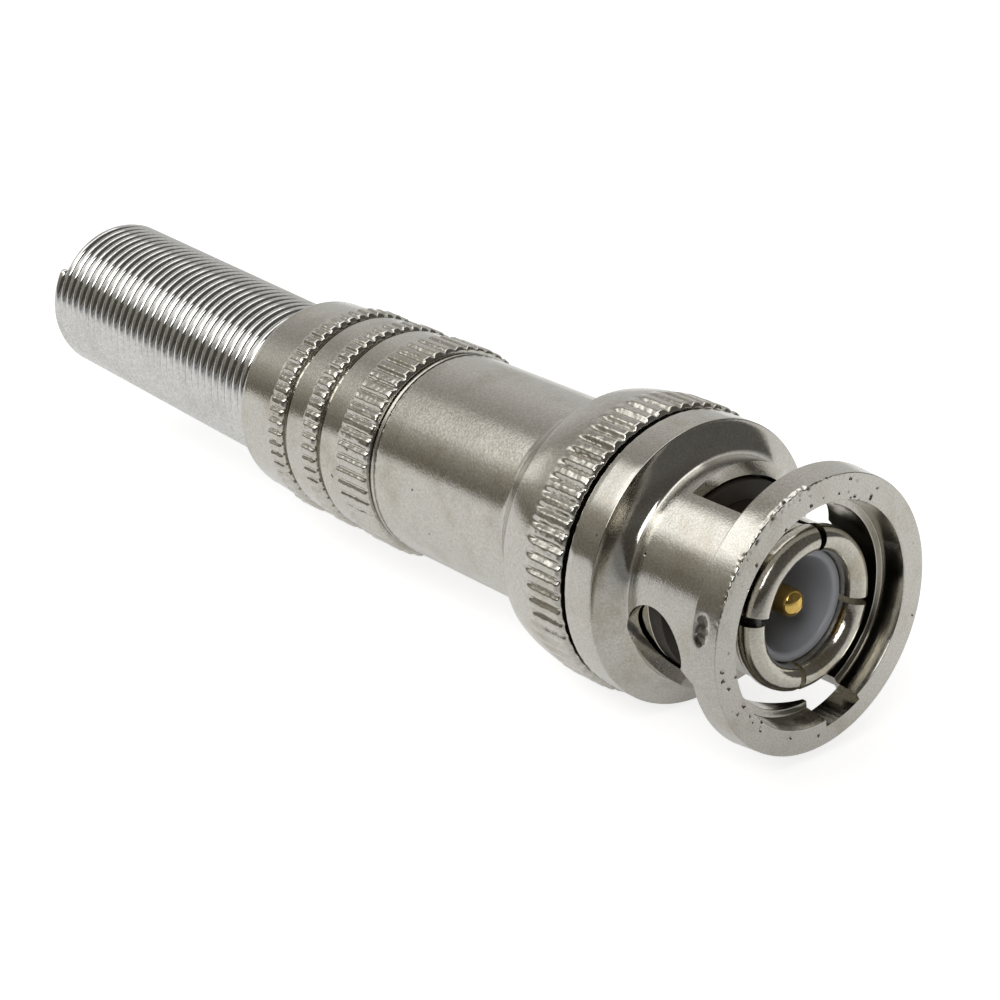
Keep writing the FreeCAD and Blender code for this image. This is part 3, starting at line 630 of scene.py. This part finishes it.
def rear_shell():
    corners = [(SHELL_FRONT, SHELL_THREAD), (SHELL_FRONT, SHELL - 0.05)]
    for land in (FIRST_LAND, SECOND_LAND, LAST_LAND):
        front, rear = land
        corners += divided([(front, SHELL), (rear, SHELL)], ROW, closed=False)
        if land != LAST_LAND:
            corners += [(rear + 0.03, GROOVE), (rear + 0.40, GROOVE)]
    corners += shallow((DOME_FRONT, SHELL), (DOME_REAR, DOME), 0, 18)
    corners += shallow((DOME_REAR, DOME), (LIP_START, DOME_LIP), 0.16, 10)[1:]
    corners += outline(
        (SHELL_REAR, DOME_EDGE, 0.04), (SHELL_REAR, SPRING_CHAMBER, 0.04), (SPRING_STOP, SPRING_CHAMBER),
        (SPRING_STOP, CABLE_BORE), (THREAD_END, CABLE_BORE), (THREAD_END, SHELL_THREAD),
    )

    def ribbed(depth, radius, clock):
        place = spot(depth, radius, clock)
        out = 0.008 * uneven(place, 3.0, 2) + 0.003 * uneven(place, 1.0, 3)
        for front, rear, crown, count in SHELL_BANDS:
            if radius > 5.5 and front - 0.01 <= depth <= rear + 0.01:
                ends = min(1, (depth - front) / 0.16 + 0.20, (rear - depth) / 0.16 + 0.20)
                out += (crown - SHELL) * ends * (0.24 + 0.70 * rib_wave(clock, count, 0.38))
                out += 0.020 * uneven(place, 0.28, 9) + 0.012 * uneven(place, 0.13, 4)
        return depth, radius + out

    piece = make_object("rear_shell_shown", lathe_shape(corners, 672, ribbed), 45)
    settle(piece, "rear_end", "satin_nickel", shell_metal, "rear_shell")


def strain_relief_spring():
    """Round wire, wound nearly shut, leaning a little upwards from its seat in the shell."""
    wire, coil, pitch = 0.32, 4.22, 0.6565    # radius of the wire, radius of the coil, length of a turn
    front, rear = 36.89, 59.48
    end_clock = radians(-62)
    around, along = 16, 72                    # points round the wire, steps in a turn
    pivot = Vector((-37.57, 0, 0)) * MM
    lean = Matrix.Rotation(radians(2.3), 3, "Y")
    rounded_end = [(-0.85, 0.30), (-0.72, 0.68), (-0.40, 0.94)]
    steps = rounded_end + [(step, 1) for step in range(int((rear - front) / pitch * along) + 1)]
    shape = bmesh.new()
    rings = []
    for step, size in steps:
        clock = end_clock - 2 * pi * step / along
        depth = rear - pitch * step / along
        depth += 0.025 * noise.noise(Vector((step / along * 0.9, 3.1, 0)))
        ring = []
        for side in range(around):
            angle = 2 * pi * side / around
            place = spot(depth + wire * size * sin(angle), coil + wire * size * cos(angle), clock)
            ring.append(shape.verts.new(lean @ (place - pivot) + pivot))
        rings.append(ring)
    for ring, after in zip(rings, rings[1:]):
        for side in range(around):
            beside = (side + 1) % around
            shape.faces.new((ring[side], ring[beside], after[beside], after[side]))
    shape.faces.new(rings[0])
    shape.faces.new(rings[-1])
    piece = make_object("strain_relief_spring_shown", shape, 60)
    settle(piece, "rear_end", "spring_steel", wire_metal, "strain_relief_spring")


def hidden_pieces():
    """CAD nodes that stay as they are get a material."""
    finishes = {
        "sealing_gasket": black_rubber, "cable_gland": black_rubber, "wave_washer": wire_metal,
        "thrust_washer": contact_metal, "slip_washer": contact_metal, "braid_clamp": contact_metal,
        "rear_insulator": shaded_milky_plastic, "insulating_sleeve": liner_plastic,
    }
    for name, material in finishes.items():
        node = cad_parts[name]
        for index in range(len(node.material_slots)):
            node.material_slots[index].material = material


# Studio

FLOOR_HEIGHT, FLOOR_REACH = -7.36 * MM, 3.0
WHITE = (1, 1, 1, 1)


def either(tree, factor, first, second):
    """First shader where the factor is 0, second where it is 1."""
    mixed = add(tree, "ShaderNodeMixShader", {0: factor})
    tree.links.new(first, mixed.inputs[1])
    tree.links.new(second, mixed.inputs[2])
    return mixed.outputs[0]


def glowing_card(tree, matte, glow):
    """Matte grey that shines by itself as well."""
    paint = add(tree, "ShaderNodeBsdfDiffuse", {"Color": (matte, matte, matte, 1)})
    light = add(tree, "ShaderNodeEmission", {"Color": WHITE, "Strength": glow})
    both = add(tree, "ShaderNodeAddShader")
    tree.links.new(paint.outputs[0], both.inputs[0])
    tree.links.new(light.outputs[0], both.inputs[1])
    return both.outputs[0]


def is_seen(tree, path):
    """1 for camera and transmission rays."""
    return reckon(tree, "MAXIMUM", path.outputs["Is Camera Ray"], path.outputs["Is Transmission Ray"])


def studio_floor():
    """Shadows fall on it as on matte card. To the camera and to metal it is lit from below as well."""
    shape = bmesh.new()
    corners = ((-1, -1), (1, -1), (1, 1), (-1, 1))
    shape.faces.new([shape.verts.new((FLOOR_REACH * x, FLOOR_REACH * y, FLOOR_HEIGHT)) for x, y in corners])
    floor = make_object("floor", shape)
    material = bpy.data.materials.new("floor_white")
    material.use_nodes = True
    tree = material.node_tree
    tree.nodes.clear()
    path = add(tree, "ShaderNodeLightPath")

    # Metal sees that the table is lit up to the near side only, where the photographer stands.
    place = add(tree, "ShaderNodeSeparateXYZ", {0: add(tree, "ShaderNodeNewGeometry").outputs["Position"]})
    nearness = reckon(tree, "SUBTRACT", place.outputs["X"], place.outputs["Y"])
    lit = ramp(tree, reckon(tree, "MULTIPLY_ADD", nearness, 5.0, 0.5), (0.46, 1), (0.62, 0.60), (0.82, 0.16))

    card = add(tree, "ShaderNodeBsdfDiffuse", {"Color": (0.80, 0.80, 0.80, 1)}).outputs[0]
    reflected = either(tree, lit, glowing_card(tree, 0.02, 0.10), glowing_card(tree, 0.78, 0.30))
    mirrored = either(tree, path.outputs["Is Glossy Ray"], card, reflected)
    shown = either(tree, is_seen(tree, path), mirrored, glowing_card(tree, 0.48, 0.76))
    surface = add(tree, "ShaderNodeOutputMaterial")
    tree.links.new(shown, surface.inputs["Surface"])
    floor.data.materials.append(material)


def studio_world():
    """White behind the object. Metal sees a soft room with large soft lights above the near side."""
    world = bpy.data.worlds.new("studio")
    bpy.context.scene.world = world
    world.use_nodes = True
    tree = world.node_tree
    tree.nodes.clear()
    direction = add(tree, "ShaderNodeSeparateXYZ", {0: add(tree, "ShaderNodeTexCoord").outputs["Generated"]})

    # The angle from the near side of the floor, over the top, to the far side, in half turns.
    toward = reckon(tree, "MULTIPLY", direction.outputs["Y"], -1)
    turn = reckon(tree, "DIVIDE", reckon(tree, "ARCTAN2", direction.outputs["Z"], toward), pi)
    room = ramp(
        tree, turn,
        (0.00, (0.21, 0.195, 0.165)), (0.07, (0.23, 0.212, 0.178)), (0.16, (0.39, 0.37, 0.32)),
        (0.27, (0.66, 0.65, 0.60)), (0.34, (0.60, 0.585, 0.55)), (0.40, (0.48, 0.465, 0.44)),
        (0.50, (0.42, 0.405, 0.38)), (0.62, (0.56, 0.54, 0.52)), (0.73, (0.68, 0.67, 0.65)),
        (1.00, (0.64, 0.64, 0.63)),
    )

    # How far a direction leans along the axis, from 0 behind the spring to 1 before the mouth.
    lean = reckon(tree, "MULTIPLY_ADD", direction.outputs["X"], 0.5, 0.5)

    def soft_light(room, across, lengthways, colour):
        return blend(tree, reckon(tree, "MULTIPLY", across, lengthways), room, colour)

    shoulder_high = ramp(tree, turn, (0.19, 0), (0.26, 1), (0.40, 1), (0.46, 0))
    overhead = ramp(tree, turn, (0.39, 0), (0.43, 1), (0.62, 1), (0.66, 0))
    at_spring = ramp(tree, lean, (0.035, 1), (0.07, 0))
    at_middle = ramp(tree, lean, (0.140, 0), (0.166, 1), (0.43, 1), (0.50, 0))
    above_middle = ramp(tree, lean, (0.27, 0), (0.30, 1), (0.47, 1), (0.52, 0))
    before_mouth = ramp(tree, lean, (0.46, 0), (0.58, 1))
    room = soft_light(room, shoulder_high, at_spring, (1.15, 1.12, 1.06))
    room = soft_light(room, shoulder_high, at_middle, (1.90, 1.89, 1.85))
    room = soft_light(room, overhead, above_middle, (1.80, 1.80, 1.78))
    room = soft_light(room, 0.86, before_mouth, (0.05, 0.045, 0.04))

    path = add(tree, "ShaderNodeLightPath")
    backdrop = add(tree, "ShaderNodeBackground", {"Color": WHITE, "Strength": 1.0}).outputs[0]
    surroundings = add(tree, "ShaderNodeBackground", {"Color": room, "Strength": 1.0}).outputs[0]
    surface = add(tree, "ShaderNodeOutputWorld")
    tree.links.new(either(tree, is_seen(tree, path), surroundings, backdrop), surface.inputs["Surface"])


def lamp(name, place, size, power):
    """Square soft lamp that looks at the middle of the object."""
    light = bpy.data.lights.new(name, "AREA")
    light.size = size
    light.energy = power
    made = bpy.data.objects.new(name, light)
    bpy.context.collection.objects.link(made)
    made.location = place
    aim = Vector((-0.025, 0, 0)) - Vector(place)
    made.rotation_euler = aim.to_track_quat("-Z", "Y").to_euler()


def camera():
    """The view of the photograph: before the mouth, on the near side, looking down."""
    data = bpy.data.cameras.new("camera")
    data.sensor_width = 36
    data.lens = 88.52
    data.clip_start = 0.01
    made = bpy.data.objects.new("camera", data)
    bpy.context.collection.objects.link(made)
    place = Vector((0.06779, -0.07553, 0.04652))
    right = Vector((0.6412, 0.7674, 0.0))
    down = Vector((0.2893, -0.2417, -0.9262))
    forward = Vector((-0.7108, 0.5939, -0.3770))
    turn = Matrix((right, -down, -forward)).transposed().to_4x4()
    made.matrix_world = Matrix.Translation(place) @ turn
    bpy.context.scene.camera = made


coupling_nut()
plug_body()
centre_contact()
front_insulator()
barrel()
rear_shell()
strain_relief_spring()
hidden_pieces()
studio_floor()
studio_world()
lamp("key", (0.35, -0.75, 0.75), 0.6, 5)
camera()

bpy.context.scene.view_settings.view_transform = "Standard"
